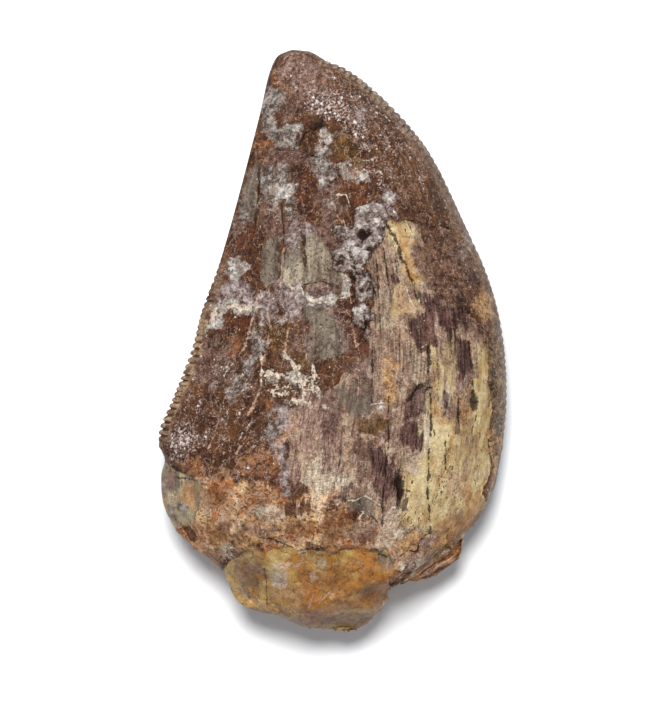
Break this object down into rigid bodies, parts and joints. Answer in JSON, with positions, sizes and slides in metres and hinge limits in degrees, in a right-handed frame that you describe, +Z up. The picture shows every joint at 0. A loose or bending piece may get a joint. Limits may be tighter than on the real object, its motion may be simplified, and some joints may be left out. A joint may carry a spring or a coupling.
{
  "type": "fossil carnosaur tooth",
  "caption": "Fossil tooth crown of a large meat-eating dinosaur, flattened and curved to a point, with saw edges and a broken root, lying on its side.",
  "frame": {"origin": "under the middle of the tooth's box, on the surface it lies on", "axes": "+Y from the broken root to the tip, +Z up from the side it lies on to the side shown, +X towards the bowed front cutting edge"},
  "size_m": [0.0278, 0.0464, 0.0126],
  "materials": {
    "fossil": "mottled brown, cream and grey mineral, satin enamel over matt dentine"
  },
  "bodies": {
    "root": {"tooth": "fossil"}
  },
  "joints": []
}
